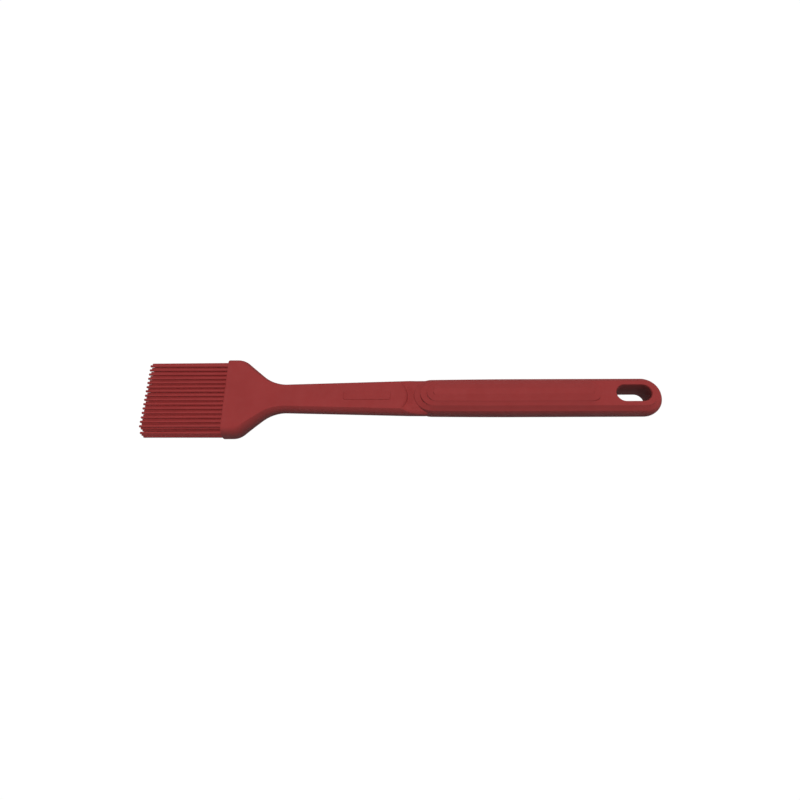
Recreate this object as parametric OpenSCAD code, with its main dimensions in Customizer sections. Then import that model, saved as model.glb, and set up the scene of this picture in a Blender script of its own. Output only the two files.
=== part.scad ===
// Silicone pastry brush: five rows of moulded strands in a spade-shaped head,
// a slim flat neck and a stepped grip with an oblong hanging slot, moulded over a stiff core.
// Millimetres, +Z up, +X from the strands towards the hanging slot.
// The origin is the middle of the footprint, on the plane that the grip rests on.

/* [Overall] */
// Length from the strand tips to the end of the grip
total_l = 260; // [250:1:280]

/* [Strands] */
// Free length of a strand, from the mouth of the head to its tip
strand_l = 40; // [30:1:50]
// Distance between neighbouring strands of a row
strand_pitch = 2.38; // [2.2:0.01:2.38]
// Distance between neighbouring rows
row_pitch = 2.25; // [2.2:0.01:2.25]
// Diameter of a strand at its root
strand_root_d = 1.6; // [1.2:0.1:1.6]
// Diameter of a strand at its tip
strand_tip_d = 1.2; // [0.8:0.1:1.4]
// Diameter of the web that joins the roots of a row
root_web_d = 1.7; // [1.6:0.1:1.7]
// Strands in the top and bottom rows
outer_row_count = 15; // [11:2:15]
// Strands in the three rows between
inner_row_count = 17; // [11:2:17]

/* [Head] */
// Width of the head at its mouth
head_w = 42.1; // [42.1:0.1:44]
// Thickness of the head
head_t = 12.6; // [12.6:0.1:14]
// Wall between the mouth and the flat faces of the head
lip_wall = 0.7; // [0.6:0.1:0.8]
// Width of the rounding down each side of the head
head_side_w = 4.7; // [4:0.1:5]
// Straight part of the side, behind the mouth
shoulder_start = 4.8; // [3:0.1:6]
// Radius of the shoulder
shoulder_r = 8.5; // [6:0.5:10]
// Angle between the sloping side and the brush's axis, in degrees
shoulder_angle = 41; // [36:1:46]
// Radius of the hollow curve between the sloping side and the neck
neck_curve_r = 18; // [14:1:20]
// Depth of the mouth that the root block fills
mouth_depth = 6.5; // [5:0.5:6.5]

/* [Neck] */
// Width of the neck at its narrowest
neck_w = 14.3; // [13:0.1:15]
// Width of the neck where it meets the grip
neck_end_w = 17.9; // [16:0.1:18]
// Thickness of the neck
neck_t = 8.6; // [8:0.1:9]
// Width of the rounding down each side of the neck
neck_side_w = 1.8; // [1.6:0.1:2.4]
// Height of the step down at the end of the neck's flat face
neck_step = 1.3; // [0.8:0.1:1.5]
// Length of the raised badge plate
badge_l = 24.4; // [20:0.1:26]
// Width of the raised badge plate
badge_w = 5.3; // [4:0.1:6]
// Height of the raised badge plate
badge_h = 0.3; // [0.2:0.05:0.4]

/* [Grip] */
// Length of the grip
grip_l = 126.1; // [120:0.1:130]
// Width of the grip
grip_w = 19.4; // [19:0.1:20]
// Thickness of the grip, from plateau to plateau
grip_t = 16.6; // [16:0.1:17.4]
// How far the grip's side bulges past its outermost step
side_bulge = 0.9; // [0.5:0.05:1]
// Width of the hanging slot
slot_w = 9.1; // [8:0.1:9.5]
// Length of the hanging slot
slot_l = 17.5; // [14:0.1:18]
// Distance from the end of the grip to the slot
slot_end_wall = 6.8; // [6:0.1:8]

/* [Core] */
// Thickness of the core
core_t = 3; // [2.4:0.1:3.2]
// Width of the core's bar in the neck and the grip
core_w = 8; // [6:0.5:8]
// Width of the core's paddle in the head
core_paddle_w = 24; // [18:0.5:24]
// Diameter of the holes that key the silicone to the core
key_hole_d = 3.6; // [2:0.1:4]

/* [Hidden] */

silicone = "#923837";
silicone_strand = "#8a2a2a";
nylon = "#3a3a3c";

// Cuts run past the faces they open by this much
eps = 0.5;
// Segments in a half circle, and in a quarter of a section's side
half_circle_n = 18;
quarter_n = 8;
cyl_fn = 48;

row_count = 5;
middle_row = (row_count + 1) / 2;
mid_z = grip_t / 2;
tip_x = -total_l / 2;
end_x = total_l / 2;
mouth_x = tip_x + strand_l;
grip_x = end_x - grip_l;

// The strands of a row turn about their root web, which stands just outside the mouth
root_x = mouth_x - 0.5;
// Front face of the root block, just behind the webs
block_x = mouth_x + 0.6;
pocket_t = head_t - 2 * lip_wall;
pocket_w = head_w - 1.9;
pocket_corner_r = 4.5;
block_back_x = mouth_x + mouth_depth;

// Key points of the head's outline, from the shoulder to the neck
shoulder_x = mouth_x + shoulder_start;
slope_x = shoulder_x + shoulder_r * sin(shoulder_angle);
slope_y = head_w / 2 - shoulder_r * (1 - cos(shoulder_angle));
hollow_y = neck_w / 2 + neck_curve_r * (1 - cos(shoulder_angle));
hollow_x = slope_x + (slope_y - hollow_y) / tan(shoulder_angle);
neck_x = hollow_x + neck_curve_r * sin(shoulder_angle);

// The neck's flat face ends in an arc of this radius, this far before the grip
neck_flat_gap = 2.2;
neck_flat_r = 7.6;
neck_flat_x = grip_x - neck_flat_gap;
band_z = neck_t / 2 - neck_step;
badge_end_gap = 8.5;
badge_corner_r = 1;

// The neck's tail sits in the grip
tail_w = 12;
tail_t = 4.8;
tail_l = 16;

// The grip's four steps, from the centre plateau outwards: each lip's half-width, its height
// above the middle plane, its distances from the grip's two ends, and the riser below it
grip_half_w = grip_w / 2;
lip_half_w = [1.7, 4.8, 6.9, grip_half_w - side_bulge];
lip_height = [for (share = [1, 0.843, 0.699, 0.434]) share * mid_z];
lip_start = [10.2, 7.2, 3.95, side_bulge];
lip_end = [35.9, 32.1, 3.5, side_bulge];
riser_h = [0.4, 0.6, 0.9];
riser_w = 0.25;
// Centre of the grip's rounded start
grip_round_x = grip_x + grip_half_w;
tread_dip = 0.3;
slot_x = end_x - slot_end_wall - slot_l / 2;

// The core's paddle starts behind the root block, and its bar ends before the slot
core_x = block_back_x + 1;
paddle_neck_x = neck_x - 6;
core_end_x = slot_x - slot_l / 2 - 7;
key_pitch = 14;

// ---- helpers ----

// Smooth step from 0 to 1
function ease(t) = let (u = min(1, max(0, t))) u * u * (3 - 2 * u);

function mix(a, b, t) = a + (b - a) * t;

// Closed solid through a list of loops that run counter-clockwise about the stacking direction
module skin(loops) {
    n = len(loops[0]);
    last = (len(loops) - 1) * n;
    sides = [
        for (i = [0 : len(loops) - 2], j = [0 : n - 1])
            let (a = i * n + j, b = i * n + (j + 1) % n)
            each [[a, a + n, b + n], [a, b + n, b]]
    ];
    first_cap = [for (j = [0 : n - 1]) j];
    last_cap = [for (j = [n - 1 : -1 : 0]) last + j];
    polyhedron(points = [for (loop = loops) each loop], faces = concat(sides, [first_cap, last_cap]));
}

// Stadium outline at height z whose round ends reach x0 and x1
function stadium_loop(half_w, z, x0, x1) = [
    for (i = [0 : half_circle_n])
        let (a = -90 + 180 * i / half_circle_n)
        [x1 - half_w + half_w * cos(a), half_w * sin(a), z],
    for (i = [0 : half_circle_n])
        let (a = 90 + 180 * i / half_circle_n)
        [x0 + half_w + half_w * cos(a), half_w * sin(a), z]
];

// Section across the brush at x: two flats joined by half-oval sides
function flat_oval_loop(x, half_w, half_t, side_w) = [
    for (i = [0 : 2 * quarter_n])
        let (a = -90 + 90 * i / quarter_n)
        [x, half_w - side_w * (1 - cos(a)), mid_z + half_t * sin(a)],
    for (i = [0 : 2 * quarter_n])
        let (a = 90 + 90 * i / quarter_n)
        [x, -half_w + side_w * (1 + cos(a)), mid_z + half_t * sin(a)]
];

module rounded_rect(l, w, r) {
    union() {
        square([l - 2 * r, w], center = true);
        square([l, w - 2 * r], center = true);
        for (x = [-1, 1], y = [-1, 1])
            translate([x * (l / 2 - r), y * (w / 2 - r)])
                circle(r = r, $fn = cyl_fn);
    }
}

// ---- core ----

module core_outline() {
    paddle_half = core_paddle_w / 2;
    bar_half = core_w / 2;
    difference() {
        union() {
            polygon([
                [core_x, -paddle_half], [core_x + 2, -paddle_half], [paddle_neck_x, -bar_half],
                [core_end_x, -bar_half], [core_end_x, bar_half], [paddle_neck_x, bar_half],
                [core_x + 2, paddle_half], [core_x, paddle_half]
            ]);
            translate([core_end_x, 0])
                circle(d = core_w, $fn = cyl_fn);
        }
        for (y = [-6.5, 0, 6.5])
            translate([core_x + 4, y])
                circle(d = key_hole_d, $fn = cyl_fn);
        for (x = [grip_x + tail_l + 6 : key_pitch : core_end_x])
            translate([x, 0])
                circle(d = key_hole_d, $fn = cyl_fn);
    }
}

module core_body() {
    translate([0, 0, mid_z - core_t / 2])
        linear_extrude(height = core_t)
            core_outline();
}

module core_spine() {
    color(nylon) core_body();
}

// ---- head and neck ----

// Half-width of the outline at x
function outline_half_w(x) =
    x <= shoulder_x ? head_w / 2
    : x <= slope_x ? head_w / 2 - shoulder_r + sqrt(shoulder_r ^ 2 - (x - shoulder_x) ^ 2)
    : x <= hollow_x ? mix(slope_y, hollow_y, (x - slope_x) / (hollow_x - slope_x))
    : x <= neck_x ? neck_w / 2 + neck_curve_r - sqrt(neck_curve_r ^ 2 - (neck_x - x) ^ 2)
    : mix(neck_w / 2, neck_end_w / 2, (x - neck_x) / (grip_x - neck_x));

function head_loop(x) =
    let (t = ease((x - mouth_x - 2) / (neck_x - mouth_x - 2)))
    flat_oval_loop(x, outline_half_w(x), mix(head_t, neck_t, t) / 2, mix(head_side_w, neck_side_w, t));

module head_solid() {
    lead_x = [mouth_x, mouth_x + 2];
    arc_x = [for (i = [0 : 8]) shoulder_x + (slope_x - shoulder_x) * sin(90 * i / 8)];
    slope_xs = [for (i = [1 : 5]) mix(slope_x, hollow_x, i / 6)];
    hollow_xs = [for (i = [0 : 12]) mix(hollow_x, neck_x, i / 12)];
    neck_xs = [grip_x, grip_round_x];
    skin([for (x = concat(lead_x, arc_x, slope_xs, hollow_xs, neck_xs)) head_loop(x)]);
}

// Space outside the arc that ends the neck's flat face, above and below the band
module neck_step_cut() {
    arc_x = neck_flat_x - neck_flat_r;
    for (side = [-1, 1])
        translate([0, 0, mid_z + side * (band_z + neck_t) - neck_t])
            linear_extrude(height = 2 * neck_t)
                difference() {
                    translate([arc_x, -head_w / 2])
                        square([grip_l / 4, head_w]);
                    translate([arc_x, 0])
                        circle(r = neck_flat_r, $fn = cyl_fn);
                }
}

// Space that the grip's rounded start fills
module grip_seat() {
    translate([grip_round_x, 0, 0])
        cylinder(h = 2 * mid_z, r = grip_half_w, $fn = 2 * cyl_fn);
}

module neck_tail() {
    translate([grip_x - 1, -tail_w / 2, mid_z - tail_t / 2])
        cube([tail_l + 1, tail_w, tail_t]);
}

// Space of the mouth from its open face to x1, starting at x0
module mouth_space(x0, x1) {
    translate([x0, 0, mid_z])
        rotate([90, 0, 90])
            linear_extrude(height = x1 - x0)
                rounded_rect(pocket_w, pocket_t, pocket_corner_r);
}

module badge_plate() {
    translate([neck_flat_x - badge_end_gap - badge_l / 2, 0, mid_z + neck_t / 2 - badge_h])
        linear_extrude(height = 2 * badge_h)
            rounded_rect(badge_l, badge_w, badge_corner_r);
}

module head_cover() {
    color(silicone)
    difference() {
        union() {
            difference() {
                head_solid();
                neck_step_cut();
                grip_seat();
            }
            neck_tail();
            badge_plate();
        }
        mouth_space(mouth_x - eps, block_back_x);
        core_body();
    }
}

// ---- grip ----

// Level k of the steps, offset outwards by o, at height z above the middle plane
function step_level(k, o, z) =
    [lip_half_w[k] + o, z, grip_x + lip_start[k] - o, end_x - lip_end[k] + o];

function side_level(k, n) =
    let (a = 90 * k / n)
    step_level(3, side_bulge * cos(a), lip_height[3] * sin(a));

function tread_level(k) =
    let (outer = step_level(k + 1, 0, lip_height[k + 1]),
         inner = step_level(k, riser_w, lip_height[k] - riser_h[k]))
    [for (i = [0 : 3]) mix(outer[i], inner[i], i == 1 ? tread_dip : 0.5)];

upper_levels = concat(
    [for (k = [0 : 5]) side_level(k, 5)],
    [for (k = [2 : -1 : 0]) each [
        tread_level(k),
        step_level(k, riser_w, lip_height[k] - riser_h[k]),
        step_level(k, 0, lip_height[k])
    ]]
);

function level_loop(level, side) = stadium_loop(level[0], mid_z + side * level[1], level[2], level[3]);

module grip_solid() {
    last = len(upper_levels) - 1;
    skin(concat(
        [for (i = [last : -1 : 1]) level_loop(upper_levels[i], -1)],
        [for (i = [0 : last]) level_loop(upper_levels[i], 1)]
    ));
}

module slot_cut() {
    translate([slot_x, 0, -eps])
        linear_extrude(height = 2 * mid_z + 2 * eps)
            union() {
                square([slot_l - slot_w, slot_w], center = true);
                for (x = [-1, 1])
                    translate([x * (slot_l - slot_w) / 2, 0])
                        circle(d = slot_w, $fn = 2 * cyl_fn);
            }
}

module grip_cover() {
    color(silicone)
    difference() {
        grip_solid();
        neck_tail();
        core_body();
        slot_cut();
    }
}

// ---- strands ----

module bristle_block() {
    color(silicone_strand) mouth_space(block_x, block_back_x);
}

module bristle_row(row) {
    count = row == 1 || row == row_count ? outer_row_count : inner_row_count;
    half_span = strand_pitch * (count - 1) / 2;
    color(silicone_strand)
    translate([root_x, 0, mid_z + (middle_row - row) * row_pitch])
        union() {
            rotate([90, 0, 0])
                cylinder(h = 2 * half_span + strand_root_d, d = root_web_d, center = true, $fn = 24);
            for (i = [0 : count - 1])
                translate([0, i * strand_pitch - half_span, 0])
                    rotate([0, -90, 0])
                        cylinder(h = root_x - tip_x, d1 = strand_root_d, d2 = strand_tip_d, $fn = 16);
        }
}

module bristle_row_1() { bristle_row(1); }
module bristle_row_2() { bristle_row(2); }
module bristle_row_3() { bristle_row(3); }
module bristle_row_4() { bristle_row(4); }
module bristle_row_5() { bristle_row(5); }

core_spine();
head_cover();
grip_cover();
bristle_block();
bristle_row_1();
bristle_row_2();
bristle_row_3();
bristle_row_4();
bristle_row_5();
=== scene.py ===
import math
import random

import bmesh
import bpy
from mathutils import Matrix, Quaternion, Vector


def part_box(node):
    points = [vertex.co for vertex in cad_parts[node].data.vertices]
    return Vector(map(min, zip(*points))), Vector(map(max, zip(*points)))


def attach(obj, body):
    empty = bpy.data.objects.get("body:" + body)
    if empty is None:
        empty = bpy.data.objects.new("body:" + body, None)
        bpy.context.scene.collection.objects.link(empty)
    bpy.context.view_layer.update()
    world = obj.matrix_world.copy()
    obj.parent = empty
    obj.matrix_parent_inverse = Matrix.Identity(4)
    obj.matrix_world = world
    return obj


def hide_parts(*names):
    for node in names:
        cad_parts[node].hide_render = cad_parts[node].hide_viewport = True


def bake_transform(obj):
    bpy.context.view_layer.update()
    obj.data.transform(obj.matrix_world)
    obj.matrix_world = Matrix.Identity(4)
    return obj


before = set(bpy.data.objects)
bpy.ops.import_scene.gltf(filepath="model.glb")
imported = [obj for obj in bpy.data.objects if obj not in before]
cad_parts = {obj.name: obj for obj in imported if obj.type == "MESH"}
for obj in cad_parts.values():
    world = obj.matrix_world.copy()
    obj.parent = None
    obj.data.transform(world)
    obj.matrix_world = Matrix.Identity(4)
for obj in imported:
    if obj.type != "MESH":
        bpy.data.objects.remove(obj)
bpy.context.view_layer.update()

MM = 0.001

# ---- places in millimetres, from the frame; heights are taken from the middle plane, at MID_Z ----

head_low, head_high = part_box("head_cover")
grip_low, grip_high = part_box("grip_cover")
block_low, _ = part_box("bristle_block")

MID_Z = (grip_low.z + grip_high.z) / 2 / MM
MOUTH_X = head_low.x / MM
END_X = grip_high.x / MM
HEAD_HALF_W = head_high.y / MM
HEAD_HALF_T = (head_high.z - head_low.z) / 2 / MM
GRIP_HALF_W = grip_high.y / MM
PLATEAU_Z = grip_high.z / MM - MID_Z

# ---- the design's own sizes, in millimetres and radians ----

GRIP_L = 126.1
GRIP_X = END_X - GRIP_L

# Head: a round shoulder, a straight slope, then a hollow curve into the neck
SHOULDER_R = 8.5
SHOULDER_ANGLE = math.radians(41)
NECK_CURVE_R = 18
HEAD_SIDE_W = 3.5
HEAD_END_ANGLE = math.radians(88)
LIP_WALL = 0.7
LIP_R = 0.3
POCKET_DEPTH = 3.5

# Neck: it widens towards the grip and has flat faces between rounded sides
NECK_HALF_W = 7.5
NECK_END_HALF_W = 9.33
NECK_HALF_T = 4.25
NECK_SIDE_W = 1.8
NECK_END_ANGLE = math.radians(34)
NECK_FULL_END = 7.2

# Neck's end inside the grip: distance past the grip's start, half-width and half-thickness
NECK_TAIL = ((8.0, 9.1, 4.0), (8.8, 8.7, 3.7), (10.0, 7.9, 3.2), (12.5, 6.5, 2.6))

# Step at the end of the neck's flat face: an arc about STEP_X that fades out towards the sides
STEP_GAP = 2.2
STEP_R = 9.0
STEP_X = GRIP_X - STEP_GAP - STEP_R
STEP_FADE = (math.radians(32), math.radians(58))
STEP_HALF_TURN = math.radians(80)
STEP_TURNS = 120
STEP_CLEARANCE = 0.03
STEP_TOP_Z = 12

# Distance beyond the step's foot, and how much of the step is already down there
STEP_PROFILE = [(-2.6, 0), (-2.1, 0.0), (-1.8, 0.04), (-1.4, 0.12), (-1.0, 0.24), (-0.7, 0.36),
                (-0.45, 0.51), (-0.2, 0.74), (-0.02, 0.97), (0.1, 1)]
STEP_PROFILE += [(0.4 + 0.4 * i, 1) for i in range(32)]

# Band beyond the step: height at its middle, how it rises away from the step, and its rounded sides
BAND_Z = 2.5
BAND_SLOPE = 0.34
BAND_SLOPE_START = 0.3
BAND_SLOPE_W = 2.8
BAND_FLAT_Y = 3.2
BAND_SIDE_W = 6.55
BAND_SIDE_POWER = 0.6

# Where each half of the band's groove fades out sideways: start and width
GROOVE_FADES = ((2.5, 4), (6.5, 2.3))

BADGE_L = 23.5
BADGE_W = 4.9
BADGE_RAISE = 0.3
BADGE_X = GRIP_X - 22.9
BADGE_CORNER_R = 1

# Hanging slot, 0.1 mm inside the design's own, which is 17.5 mm long and ends 6.8 mm from the grip's end
SLOT_HALF_W = 4.45
SLOT_HALF_L = 8.65
SLOT_X = END_X - 6.8 - 8.75

# Where the parts of the head's outline meet
SHOULDER_X = MOUTH_X + 4.8
SLOPE_X = SHOULDER_X + SHOULDER_R * math.sin(SHOULDER_ANGLE)
SLOPE_Y = HEAD_HALF_W - SHOULDER_R * (1 - math.cos(SHOULDER_ANGLE))
HOLLOW_Y = NECK_HALF_W + NECK_CURVE_R * (1 - math.cos(SHOULDER_ANGLE))
HOLLOW_X = SLOPE_X + (SLOPE_Y - HOLLOW_Y) / math.tan(SHOULDER_ANGLE)
NECK_X = HOLLOW_X + NECK_CURVE_R * math.sin(SHOULDER_ANGLE)


def mix(a, b, t):
    """Value a share t of the way from a to b."""
    return a + (b - a) * t


def ease(t):
    """Smooth step from 0 to 1."""
    t = min(1, max(0, t))
    return t * t * (3 - 2 * t)


# ---- meshes ----

def to_object(name, verts, faces):
    """Mesh object from points in millimetres about the middle plane."""
    mesh = bpy.data.meshes.new(name)
    mesh.from_pydata([(x * MM, y * MM, (z + MID_Z) * MM) for x, y, z in verts], [], faces)
    shell = bmesh.new()
    shell.from_mesh(mesh)
    bmesh.ops.remove_doubles(shell, verts=shell.verts, dist=1e-7)
    bmesh.ops.recalc_face_normals(shell, faces=shell.faces)
    shell.to_mesh(mesh)
    shell.free()
    piece = bpy.data.objects.new(name, mesh)
    bpy.context.scene.collection.objects.link(piece)
    return piece


def tube_faces(first, rings, n):
    """Faces of a closed tube through rings of n points, the first point being number first."""
    faces = []
    for i in range(rings - 1):
        for j in range(n):
            a, b = first + i * n + j, first + i * n + (j + 1) % n
            faces.append((a, b, b + n, a + n))
    last = first + (rings - 1) * n
    faces.append(tuple(range(first, first + n)))
    faces.append(tuple(range(last, last + n)))
    return faces


def skin(name, loops):
    """Closed mesh through a list of loops that all have the same number of points."""
    points = [point for loop in loops for point in loop]
    return to_object(name, points, tube_faces(0, len(loops), len(loops[0])))


def moved(loop, x):
    """The same loop, standing at x."""
    return [(x, y, z) for _, y, z in loop]


def cut(piece, cutter, operation="DIFFERENCE"):
    """Applies an exact boolean to the piece and removes the cutter."""
    modifier = piece.modifiers.new("cut", "BOOLEAN")
    modifier.operation = operation
    modifier.solver = "EXACT"
    modifier.object = cutter
    apply_modifiers(piece)
    bpy.data.objects.remove(cutter)


def apply_modifiers(piece):
    """Replaces the piece's mesh with what its modifiers make of it."""
    bpy.context.view_layer.update()
    depsgraph = bpy.context.evaluated_depsgraph_get()
    mesh = bpy.data.meshes.new_from_object(piece.evaluated_get(depsgraph))
    piece.modifiers.clear()
    piece.data = mesh


def smooth(piece, angle=30):
    """Smooth shading, with an edge kept sharp where its faces meet at more than the angle."""
    for face in piece.data.polygons:
        face.use_smooth = True
    piece.data.set_sharp_from_angle(angle=math.radians(angle))


# ---- head and neck ----

# Steps round half a side, and across a flat
SIDE_N = 12
FLAT_N = 16


def outline_half_w(x):
    """Half-width of the head and neck at x."""
    if x <= SHOULDER_X:
        return HEAD_HALF_W
    if x <= SLOPE_X:
        return HEAD_HALF_W - SHOULDER_R + math.sqrt(SHOULDER_R ** 2 - (x - SHOULDER_X) ** 2)
    if x <= HOLLOW_X:
        return mix(SLOPE_Y, HOLLOW_Y, (x - SLOPE_X) / (HOLLOW_X - SLOPE_X))
    if x <= NECK_X:
        return NECK_HALF_W + NECK_CURVE_R - math.sqrt(NECK_CURVE_R ** 2 - (NECK_X - x) ** 2)
    return mix(NECK_HALF_W, NECK_END_HALF_W, (x - NECK_X) / (GRIP_X - NECK_X))


def side_curve(half_w, half_t, side_w, end_angle):
    """Points (y, z) up one side, from the lower flat to the upper one."""
    points = []
    for i in range(-SIDE_N, SIDE_N + 1):
        a = end_angle * i / SIDE_N
        y = half_w - side_w * (1 - math.cos(a)) / (1 - math.cos(end_angle))
        points.append((y, half_t * math.sin(a) / math.sin(end_angle)))
    return points


def section(x, half_w, half_t, side_w, end_angle):
    """Loop across the brush at x: two flats joined by rounded sides."""
    side = side_curve(half_w, half_t, side_w, end_angle)
    flat_y = half_w - side_w
    across = [mix(flat_y, -flat_y, i / FLAT_N) for i in range(1, FLAT_N)]
    loop = [(x, y, z) for y, z in side]
    loop += [(x, y, half_t) for y in across]
    loop += [(x, -y, z) for y, z in reversed(side)]
    loop += [(x, -y, -half_t) for y in across]
    return loop


def head_section(x, inset=0.0):
    """Loop across the head or neck at x; an inset moves it in by the wall's thickness."""
    t = ease((x - MOUTH_X - 2) / (NECK_X - MOUTH_X - 2))
    half_w = outline_half_w(x) - inset
    half_t = mix(HEAD_HALF_T, NECK_HALF_T, t) - inset
    side_w = mix(HEAD_SIDE_W, NECK_SIDE_W, t)
    end_angle = mix(HEAD_END_ANGLE, NECK_END_ANGLE, ease(2 * t))
    return section(x, half_w, half_t, side_w, end_angle)


def spread(a, b, count):
    """count values from a towards b, without b."""
    return [mix(a, b, i / count) for i in range(count)]


def head_blank():
    """Head and neck with the mouth open and its lip rounded."""
    wall = head_section(MOUTH_X + LIP_R, LIP_WALL)
    pocket = [head_section(MOUTH_X + POCKET_DEPTH, LIP_WALL), moved(wall, MOUTH_X + POCKET_DEPTH - 2), wall]
    lip = []
    for i in range(1, 8):
        a = math.pi * i / 8
        inset = LIP_WALL / 2 * (1 + math.cos(a))
        lip.append(moved(head_section(MOUTH_X, inset), MOUTH_X + LIP_R * (1 - math.sin(a))))
    arc_x = [SHOULDER_X + (SLOPE_X - SHOULDER_X) * math.sin(math.pi / 2 * i / 14) for i in range(14)]
    xs = spread(MOUTH_X + LIP_R, SHOULDER_X, 6) + arc_x + spread(SLOPE_X, HOLLOW_X, 12)
    xs += spread(HOLLOW_X, NECK_X, 24) + spread(NECK_X, GRIP_X - 12, 24)
    xs += spread(GRIP_X - 12, GRIP_X + NECK_FULL_END, 24)
    outer = [head_section(x) for x in xs]
    tail = []
    for x, half_w, half_t in NECK_TAIL:
        tail.append(section(GRIP_X + x, half_w, half_t, NECK_SIDE_W, NECK_END_ANGLE))
    return skin("head_shell", pocket + lip + outer + tail)


def neck_top(x, y):
    """Height of the neck's upper surface above the middle plane."""
    half_w = outline_half_w(x)
    into_side = (abs(y) - (half_w - NECK_SIDE_W)) / NECK_SIDE_W
    if into_side <= 0:
        return NECK_HALF_T
    if into_side >= 1:
        return 0
    a = math.acos(1 - (1 - into_side) * (1 - math.cos(NECK_END_ANGLE)))
    return NECK_HALF_T * math.sin(a) / math.sin(NECK_END_ANGLE)


def band_top(out, y):
    """Height of the band at a distance out beyond the step: an oval with a groove across its top."""
    across = min(1, max(0, (abs(y) - BAND_FLAT_Y) / BAND_SIDE_W))
    oval = NECK_HALF_T * (1 - across ** 2) ** BAND_SIDE_POWER
    rise = BAND_SLOPE * min(max(0, out - BAND_SLOPE_START), BAND_SLOPE_W)
    depth = NECK_HALF_T - BAND_Z - rise
    fade = sum(0.5 * ease((abs(y) - start) / width) for start, width in GROOVE_FADES)
    return max(0, oval - depth * (1 - fade))


def step_cutter(side):
    """Space beyond the band's face, swept round the step's arc; side is 1 above and -1 below."""
    first_out, last_out = STEP_PROFILE[0][0], STEP_PROFILE[-1][0]
    loops = []
    for i in range(STEP_TURNS + 1):
        a = mix(-STEP_HALF_TURN, STEP_HALF_TURN, i / STEP_TURNS)
        kept = 1 - ease((abs(a) - STEP_FADE[0]) / (STEP_FADE[1] - STEP_FADE[0]))
        loop = []
        for out, down in STEP_PROFILE:
            x = STEP_X + (STEP_R + out) * math.cos(a)
            y = (STEP_R + out) * math.sin(a)
            # A sample slightly nearer the middle keeps the cutter clear of the rounded side
            inward = max(0, abs(y) - 0.4 * min(1, abs(y) / 6))
            above = 0.4 if out == first_out else STEP_CLEARANCE
            z = mix(neck_top(x, inward) + above, band_top(out, y), down * kept)
            loop.append((x, y, side * z))
        for out in (last_out, first_out):
            x = STEP_X + (STEP_R + out) * math.cos(a)
            loop.append((x, (STEP_R + out) * math.sin(a), side * STEP_TOP_Z))
        loops.append(loop)
    return skin("step_cutter", loops)


def rounded_rect(x, half_l, half_w, r, z):
    """Loop of a rectangle with round corners at height z."""
    loop = []
    for corner, (sx, sy) in enumerate(((1, 1), (-1, 1), (-1, -1), (1, -1))):
        for i in range(9):
            a = math.pi / 2 * (corner + i / 8)
            loop.append((x + sx * (half_l - r) + r * math.cos(a), sy * (half_w - r) + r * math.sin(a), z))
    return loop


def badge_plate():
    """Blank raised plate on the neck, with drafted walls and a soft upper edge."""
    # Height above the neck's face, and how far the outline grows there
    levels = [(-1.0, 0.35), (0.0, 0.12), (0.18, 0.05), (0.26, 0.0), (BADGE_RAISE, -0.08)]
    loops = []
    for z, grow in levels:
        half_l, half_w = BADGE_L / 2 + grow, BADGE_W / 2 + grow
        loops.append(rounded_rect(BADGE_X, half_l, half_w, BADGE_CORNER_R + grow, NECK_HALF_T + z))
    return skin("badge_plate", loops)


def head_shell():
    """Silicone cover of the head and neck."""
    head = head_blank()
    for side in (1, -1):
        cut(head, step_cutter(side))
    cut(head, badge_plate(), "UNION")
    smooth(head, 28)
    return head


# ---- grip ----

# Steps round an end's half circle, and along a side
ARC_N = 32
STRAIGHT_N = 40
SIDE_ARC_N = 8

# Each lip's half-width, height and distances from the grip's two ends, from the plateau outwards
LIPS = [(1.7, PLATEAU_Z, 10.2, 35.9), (4.8, 7.15, 7.2, 32.1), (6.88, 5.88, 3.95, 3.5), (8.85, 3.85, 0.9, 0.9)]
LIP_CHAMFER = 0.06

# Tread below each lip: height of its foot at the sides, and how far it rises at the ends
FOOT_Z = [8.18, 6.85, 5.55]
TREAD_POWER = 1.1
END_RISE = [0.7, 0.4, 0.7]
RISER_W = 0.25
END_RISER_SHARE = 0.1
SHARE_POWER = 1.8

# Outer side: how far its rounding turns, the far end's gap on each half, and how full that end is
SIDE_END_ANGLE = math.radians(40)
UPPER_END_GAP = 1.65
LOWER_END_GAP = 0.75
MIDDLE_POWER = 0.94
LOWER_POWER = 0.91

# The grip narrows towards the neck from TAPER_END_X on
TAPER = 0.048
TAPER_POWER = 1.5
TAPER_END_X = 52

# The middle tread is crowned from CROWN_START_X on, round the slot
CROWN = 0.5
CROWN_START_X = 91
CROWN_BLEND = 8


def bend(value, power):
    """Power that keeps the value's sign."""
    return math.copysign(abs(value) ** power, value)


def straight(x0, x1, y):
    """Points along a stadium's side, without its two ends."""
    return [(mix(x0, x1, i / STRAIGHT_N), y, 1) for i in range(1, STRAIGHT_N)]


def stadium(half_w, x0, x1, power=1.0):
    """Points (x, y, share of a side) round a stadium: the share is 0 at a tip and 1 along a side.

    A power below 1 makes the far end fuller than a half circle.
    """
    points = []
    for centre, start, p in ((x1 - half_w, -math.pi / 2, power), (x0 + half_w, math.pi / 2, 1.0)):
        for i in range(ARC_N + 1):
            a = start + math.pi * i / ARC_N
            c, s = bend(math.cos(a), p), bend(math.sin(a), p)
            points.append((centre + half_w * c, half_w * s, abs(math.sin(a)) ** SHARE_POWER))
        if centre == x1 - half_w:
            points += straight(x1 - half_w, x0 + half_w, half_w)
    return points + straight(x0 + half_w, x1 - half_w, -half_w)


def lip_stadium(k, grow=0.0, end_gap=None, power=1.0):
    """Outline of lip k, grown outwards; end_gap overrides its distance from the grip's far end."""
    half_w, _, from_start, from_end = LIPS[k]
    if end_gap is not None:
        from_end = end_gap
    return stadium(half_w + grow, GRIP_X + from_start - grow, END_X - from_end + grow, power)


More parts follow.
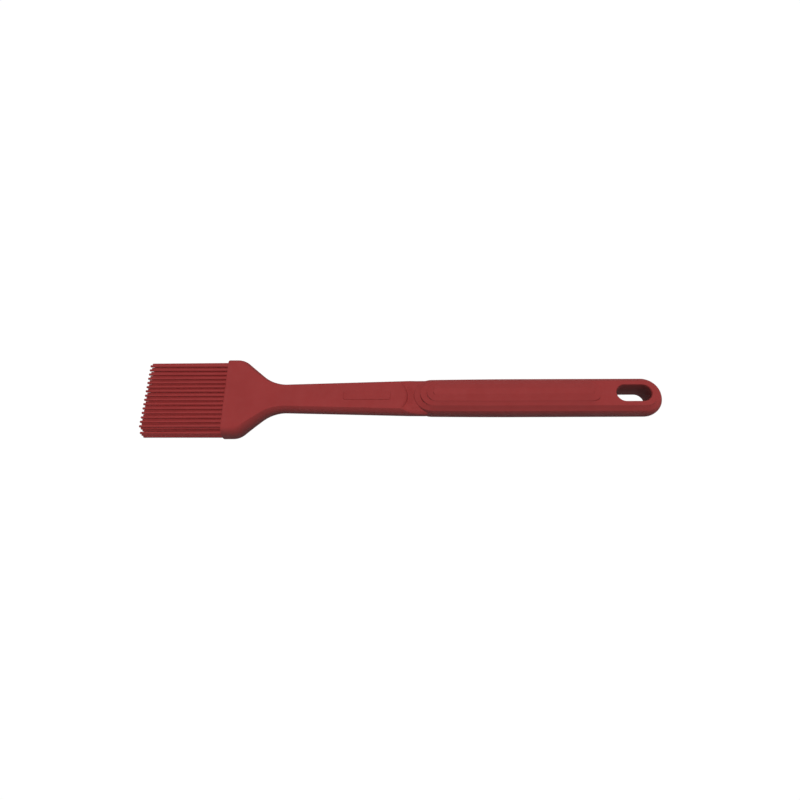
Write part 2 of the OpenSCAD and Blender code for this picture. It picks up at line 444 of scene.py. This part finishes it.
def tread_z(k, x, y, share, t):
    """Height of the tread below step k, from its lip (t = 0) to the foot of the riser (t = 1)."""
    lip_z = LIPS[k + 1][1]
    z = mix(lip_z + END_RISE[k] * t, mix(lip_z, FOOT_Z[k], t ** TREAD_POWER), share)
    if k == 1:
        crown_z = lip_z + CROWN * (1 - (y / LIPS[2][0]) ** 2)
        z = mix(z, crown_z, ease((x - CROWN_START_X) / CROWN_BLEND))
    return z


def side_loops(end_gap, end_power):
    """Loops of the rounded outer side, from the middle plane to the outermost lip."""
    half_w, lip_z, _, _ = LIPS[3]
    bulge = GRIP_HALF_W - half_w
    loops = []
    for i in range(SIDE_ARC_N + 1):
        a = SIDE_END_ANGLE * i / SIDE_ARC_N
        share = (math.cos(a) - math.cos(SIDE_END_ANGLE)) / (1 - math.cos(SIDE_END_ANGLE))
        z = lip_z * math.sin(a) / math.sin(SIDE_END_ANGLE)
        gap = mix(end_gap, bulge, share)
        power = mix(end_power, MIDDLE_POWER, share)
        loops.append([(x, y, z) for x, y, _ in lip_stadium(3, bulge * share, gap, power)])
    return loops


def tread_loops(k, outer):
    """Loops of the tread below lip k, from the outline of the lip outside it to the riser's foot."""
    edge, wide = lip_stadium(k), lip_stadium(k, RISER_W)
    inner = []
    for e, w in zip(edge, wide):
        riser = mix(END_RISER_SHARE, 1, e[2])
        inner.append((mix(e[0], w[0], riser), mix(e[1], w[1], riser)))
    # The crowned tread needs more loops
    steps = 16 if k == 1 else 5
    loops = []
    for i in range(1, steps + 1):
        t = i / steps
        loop = []
        for (x0, y0, share), (x1, y1) in zip(outer, inner):
            x, y = mix(x0, x1, t), mix(y0, y1, t)
            loop.append((x, y, tread_z(k, x, y, share, t)))
        loops.append(loop)
    return loops


def half_loops(end_gap, end_power):
    """Loops of half the grip, from the middle plane to the plateau."""
    loops = side_loops(end_gap, end_power)
    for k in (2, 1, 0):
        outer = lip_stadium(k + 1, 0, end_gap, end_power) if k == 2 else lip_stadium(k + 1)
        loops += tread_loops(k, outer)
        lip_z = LIPS[k][1]
        loops.append([(x, y, lip_z - LIP_CHAMFER) for x, y, _ in lip_stadium(k)])
        loops.append([(x, y, lip_z) for x, y, _ in lip_stadium(k, -LIP_CHAMFER)])
    return loops


def slot_cutter():
    """Hanging slot, flared a little where it meets the grip's faces."""
    # Height, and how far the outline grows there
    flare = [(0, 0), (5.6, 0), (5.8, 0.05), (6.0, 0.14), (6.2, 0.3), (6.5, 0.6), (9.5, 4)]
    levels = [(-z, grow) for z, grow in reversed(flare[1:])] + flare
    loops = []
    for z, grow in levels:
        outline = stadium(SLOT_HALF_W + grow, SLOT_X - SLOT_HALF_L - grow, SLOT_X + SLOT_HALF_L + grow)
        loops.append([(x, y, z) for x, y, _ in outline])
    return skin("slot_cutter", loops)


def taper(x):
    """The grip's share of its full width at x."""
    return 1 - TAPER * max(0, (TAPER_END_X - x) / (TAPER_END_X - GRIP_X)) ** TAPER_POWER


def grip_shell():
    """Silicone cover of the grip, with the hanging slot cut through it."""
    upper = half_loops(UPPER_END_GAP, 1.0)
    lower = half_loops(LOWER_END_GAP, LOWER_POWER)
    loops = [[(x, y, -z) for x, y, z in loop] for loop in reversed(lower[1:])] + upper
    grip = skin("grip_shell", [[(x, y * taper(x), z) for x, y, z in loop] for loop in loops])
    cut(grip, slot_cutter())
    smooth(grip, 22)
    return grip


# ---- strands ----

STRAND_ROWS = 5
OUTER_COUNT = 15
INNER_COUNT = 17
STRAND_SIDES = 16
STRAND_STEPS = 26
ROOT_R = 0.8
TIP_R = 0.6
ROW_SHIFT = 0.27
LEAN = 0.06
WEB_R = 0.85

# Flared root: distance behind the hinge axis, and radius
ROOT_FLARE = [(1.6, 1.15), (1.0, 1.02), (0.7, 0.92), (0.4, 0.84)]


def strand_loops(y, z, root_x, tip_x, lean_y, lean_z):
    """Loops along one strand, from its flared root inside the block to its rounded tip."""
    stations = [(root_x + back, r) for back, r in ROOT_FLARE]
    body_end = tip_x + 0.35
    for i in range(STRAND_STEPS + 1):
        t = i / STRAND_STEPS
        stations.append((mix(root_x, body_end, t), mix(ROOT_R, TIP_R, t)))
    stations += [(body_end - 0.2, TIP_R * 0.9), (body_end - 0.31, TIP_R * 0.72), (tip_x, TIP_R * 0.45)]
    loops = []
    for x, r in stations:
        t = max(0, (root_x - x) / (root_x - tip_x))
        cy, cz = y + lean_y * t * t, z + lean_z * t * t
        loop = []
        for i in range(STRAND_SIDES):
            a = 2 * math.pi * i / STRAND_SIDES
            loop.append((x, cy + r * math.cos(a), cz + r * math.sin(a)))
        loops.append(loop)
    return loops


def strand_row(row, rng):
    """One row of strands as a single mesh, with the x of its hinge axis and the height of the row."""
    low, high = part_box(f"bristle_row_{row}")
    row_z = (low.z + high.z) / 2 / MM - MID_Z
    root_x, tip_x = high.x / MM - WEB_R, low.x / MM
    first_y = high.y / MM - ROOT_R
    outermost = row in (1, STRAND_ROWS)
    count = OUTER_COUNT if outermost else INNER_COUNT
    pitch = 2 * first_y / (count - 1)
    shift = 0 if outermost else -ROW_SHIFT
    verts, faces = [], []
    for i in range(count):
        y = first_y - pitch * i + shift
        loops = strand_loops(y, row_z, root_x, tip_x, rng.uniform(-LEAN, LEAN), rng.uniform(-LEAN, LEAN))
        faces += tube_faces(len(verts), len(loops), STRAND_SIDES)
        verts += [point for loop in loops for point in loop]
    piece = to_object(f"strand_row_{row}", verts, faces)
    smooth(piece, 50)
    return piece, (root_x, row_z)


def root_block():
    """Block of silicone that fills the mouth, with a softly crowned face."""
    front_x = block_low.x / MM
    inset = LIP_WALL + 0.02
    # Distance behind the front, and how far the outline shrinks there
    stations = ((0, 1.6), (0.05, 0.8), (0.15, 0.3), (0.4, 0.0), (2.5, 0.0))
    loops = [moved(head_section(MOUTH_X, inset + shrink), front_x + back) for back, shrink in stations]
    block = skin("root_block", loops)
    smooth(block, 40)
    return block


# ---- materials ----

# Noise scales, in cells per metre
CLOUD_SCALE = 90
POLISH_SCALE = 260
WAVE_SCALE = 500
GRAIN_SCALE = 3600

SILICONE_ROUGHNESS = 0.84
LOOK_IOR = 1.26


def node(tree, kind, **settings):
    """New shader node with its settings."""
    new = tree.nodes.new(kind)
    for name, value in settings.items():
        setattr(new, name, value)
    return new


def noise(tree, coords, scale, detail=3.0, roughness=0.5):
    """Soft noise, mostly between 0.3 and 0.7."""
    new = node(tree, "ShaderNodeTexNoise")
    new.inputs["Scale"].default_value = scale
    new.inputs["Detail"].default_value = detail
    new.inputs["Roughness"].default_value = roughness
    tree.links.new(coords, new.inputs["Vector"])
    return new.outputs["Fac"]


def remap(tree, value, low, high):
    """Stretches a noise's usual range to run from low to high."""
    new = node(tree, "ShaderNodeMapRange")
    new.inputs["From Min"].default_value = 0.3
    new.inputs["From Max"].default_value = 0.7
    new.inputs["To Min"].default_value = low
    new.inputs["To Max"].default_value = high
    tree.links.new(value, new.inputs["Value"])
    return new.outputs["Result"]


def bump(tree, height, distance, strength, before=None):
    """Bumped normal, on top of an earlier one if there is one."""
    new = node(tree, "ShaderNodeBump")
    new.inputs["Distance"].default_value = distance
    new.inputs["Strength"].default_value = strength
    tree.links.new(height, new.inputs["Height"])
    if before is not None:
        tree.links.new(before, new.inputs["Normal"])
    return new.outputs["Normal"]


def tinted(tree, coords, base, dark):
    """Base colour that drifts towards a darker one in soft clouds."""
    blend = node(tree, "ShaderNodeMix", data_type="RGBA")
    blend.inputs["A"].default_value = (*base, 1)
    blend.inputs["B"].default_value = (*dark, 1)
    tree.links.new(remap(tree, noise(tree, coords, CLOUD_SCALE), 0, 1), blend.inputs["Factor"])
    return blend.outputs["Result"]


def moulded(name, base, dark, roughness, grain):
    """Matte moulded silicone or nylon: a fine pebble grain, soft clouds of tone and uneven polish."""
    material = bpy.data.materials.new(name + "_look")
    material.use_nodes = True
    tree = material.node_tree
    tree.nodes.clear()
    out = node(tree, "ShaderNodeOutputMaterial")
    shader = node(tree, "ShaderNodeBsdfPrincipled")
    tree.links.new(shader.outputs["BSDF"], out.inputs["Surface"])
    coords = node(tree, "ShaderNodeTexCoord").outputs["Object"]
    tree.links.new(tinted(tree, coords, base, dark), shader.inputs["Base Color"])
    polish = remap(tree, noise(tree, coords, POLISH_SCALE), roughness - 0.05, roughness + 0.06)
    tree.links.new(polish, shader.inputs["Roughness"])
    waves = bump(tree, noise(tree, coords, WAVE_SCALE, 2), 0.00004, 0.25)
    pebbles = bump(tree, noise(tree, coords, GRAIN_SCALE, 2, 0.6), 0.00003, grain, waves)
    tree.links.new(pebbles, shader.inputs["Normal"])
    shader.inputs["IOR"].default_value = LOOK_IOR
    return material


def build_materials():
    """One look for each slot of the record; the strands are painted a little brighter than the covers,
    painted light that makes up for the shade between their rows.
    """
    red, deep_red = (0.277, 0.0285, 0.0275), (0.261, 0.0260, 0.0250)
    # Strands: the same silicone painted a little lighter, painted light standing in for light that reaches
    # between the rows
    lit_strand_red, lit_strand_deep = (0.284, 0.0285, 0.0275), (0.266, 0.0260, 0.0250)
    black, deep_black = (0.035, 0.035, 0.038), (0.028, 0.028, 0.03)
    return {
        "silicone_head": moulded("silicone_head", red, deep_red, SILICONE_ROUGHNESS, 0.35),
        "silicone_grip": moulded("silicone_grip", red, deep_red, SILICONE_ROUGHNESS, 0.4),
        "silicone_strand": moulded("silicone_strand", lit_strand_red, lit_strand_deep, SILICONE_ROUGHNESS, 0.2),
        "nylon_core": moulded("nylon_core", black, deep_black, 0.5, 0.3),
    }


def finish_piece(piece, slot_name, body, cad_node):
    """Gives the piece the look of its slot and its body if it rides on only one, and hides the CAD node it
    stands for.
    """
    piece.data.materials.clear()
    piece.data.materials.append(materials[slot_name])
    if body:
        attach(piece, body)
    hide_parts(cad_node)


# ---- stage, light and camera, in metres ----

FLOOR_Z = -0.020
FLOOR_HALF = 3.0
DOME_R = 2.9
DOME_TURNS = 48
DOME_RINGS = 24

CAMERA_LENS = 27.98
CAMERA_ELEVATION = math.radians(64.67)
CAMERA_DISTANCE = 0.3151
CAMERA_ROLL = math.radians(-0.2)
CAMERA_TARGET = Vector((-2.356, -0.802, MID_Z)) * MM


def emitter(name, strength, diffuse_share):
    """White surface that glows, with a little of it left matte."""
    material = bpy.data.materials.new(name)
    material.use_nodes = True
    tree = material.node_tree
    tree.nodes.clear()
    out = node(tree, "ShaderNodeOutputMaterial")
    add = node(tree, "ShaderNodeAddShader")
    glow = node(tree, "ShaderNodeEmission")
    glow.inputs["Color"].default_value = (1, 1, 1, 1)
    glow.inputs["Strength"].default_value = strength
    matte = node(tree, "ShaderNodeBsdfDiffuse")
    matte.inputs["Color"].default_value = (diffuse_share, diffuse_share, diffuse_share, 1)
    tree.links.new(glow.outputs["Emission"], add.inputs[0])
    tree.links.new(matte.outputs["BSDF"], add.inputs[1])
    tree.links.new(add.outputs["Shader"], out.inputs["Surface"])
    return material


def keep_light_out(piece):
    """The piece is seen and reflected, but doesn't light or shade anything."""
    piece.visible_diffuse = False
    piece.visible_transmission = False
    piece.visible_volume_scatter = False
    piece.visible_shadow = False


def build_dome():
    """White sphere round everything, built by hand so that its faces come in the same order each run."""
    verts = [(0, 0, DOME_R)]
    for i in range(1, DOME_RINGS):
        tilt = math.pi * i / DOME_RINGS
        ring_r, ring_z = DOME_R * math.sin(tilt), DOME_R * math.cos(tilt)
        for j in range(DOME_TURNS):
            turn = 2 * math.pi * j / DOME_TURNS
            verts.append((ring_r * math.cos(turn), ring_r * math.sin(turn), ring_z))
    verts.append((0, 0, -DOME_R))
    last = len(verts) - 1
    lowest = last - DOME_TURNS
    faces = []
    for j in range(DOME_TURNS):
        beside = (j + 1) % DOME_TURNS
        faces.append((0, 1 + j, 1 + beside))
        for i in range(DOME_RINGS - 2):
            a, b = 1 + i * DOME_TURNS + j, 1 + i * DOME_TURNS + beside
            faces.append((a, a + DOME_TURNS, b + DOME_TURNS, b))
        faces.append((lowest + j, last, lowest + beside))
    mesh = bpy.data.meshes.new("backdrop")
    mesh.from_pydata(verts, [], faces)
    mesh.materials.append(emitter("backdrop_white", 1.0, 0.0))
    dome = bpy.data.objects.new("backdrop", mesh)
    bpy.context.scene.collection.objects.link(dome)
    return dome


def build_stage():
    """Plain white floor, 20 mm below the brush, inside a plain white dome."""
    corners = ((-1, -1), (1, -1), (1, 1), (-1, 1))
    mesh = bpy.data.meshes.new("floor")
    mesh.from_pydata([(FLOOR_HALF * x, FLOOR_HALF * y, FLOOR_Z) for x, y in corners], [], [(0, 1, 2, 3)])
    floor = bpy.data.objects.new("floor", mesh)
    bpy.context.scene.collection.objects.link(floor)
    mesh.materials.append(emitter("floor_white", 0.985, 0.03))
    keep_light_out(floor)

    dome = build_dome()
    keep_light_out(dome)


def sun(name, direction, strength, angle, shadow):
    """Sun from a direction; a strength of 1 lights a white surface that faces it to white."""
    light = bpy.data.lights.new(name, "SUN")
    light.energy = strength * math.pi
    light.angle = math.radians(angle)
    light.use_shadow = shadow
    lamp = bpy.data.objects.new(name, light)
    lamp.rotation_euler = Vector(direction).to_track_quat("Z", "Y").to_euler()
    bpy.context.scene.collection.objects.link(lamp)


def build_lights():
    """A soft overhead key, an even fill from the same side that casts no shadow, and a dim room."""
    sun("key", (0.09, -0.02, 1), 0.27, 36, True)
    sun("fill", (0.09, -0.02, 1), 0.67, 20, False)

    world = bpy.data.worlds.new("studio")
    bpy.context.scene.world = world
    world.use_nodes = True
    world.node_tree.nodes["Background"].inputs["Color"].default_value = (1, 1, 1, 1)
    world.node_tree.nodes["Background"].inputs["Strength"].default_value = 0.06


def build_camera():
    """Camera at the photo's angle."""
    camera = bpy.data.cameras.new("camera")
    camera.lens = CAMERA_LENS
    camera.clip_start = 0.01
    away = Vector((0, -math.cos(CAMERA_ELEVATION), math.sin(CAMERA_ELEVATION)))
    eye = bpy.data.objects.new("camera", camera)
    eye.location = CAMERA_TARGET + CAMERA_DISTANCE * away
    tilt = (CAMERA_TARGET - eye.location).to_track_quat("-Z", "Y")
    eye.rotation_mode = "QUATERNION"
    eye.rotation_quaternion = tilt @ Quaternion((0, 0, 1), CAMERA_ROLL)
    bpy.context.scene.collection.objects.link(eye)
    bpy.context.scene.camera = eye


# ---- build ----

build_camera()
build_stage()
build_lights()
materials = build_materials()

finish_piece(head_shell(), "silicone_head", "handle", "head_cover")
finish_piece(grip_shell(), "silicone_grip", "handle", "grip_cover")
finish_piece(root_block(), "silicone_strand", "handle", "bristle_block")

strand_rng = random.Random(7)
for row in range(1, STRAND_ROWS + 1):
    strands, (root_x, row_z) = strand_row(row, strand_rng)
    finish_piece(strands, "silicone_strand", None, f"bristle_row_{row}")
    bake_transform(strands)

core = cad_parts["core_spine"]
core.data.materials.clear()
core.data.materials.append(materials["nylon_core"])

bpy.context.scene.view_settings.view_transform = "Standard"
bpy.context.scene.view_settings.look = "None"
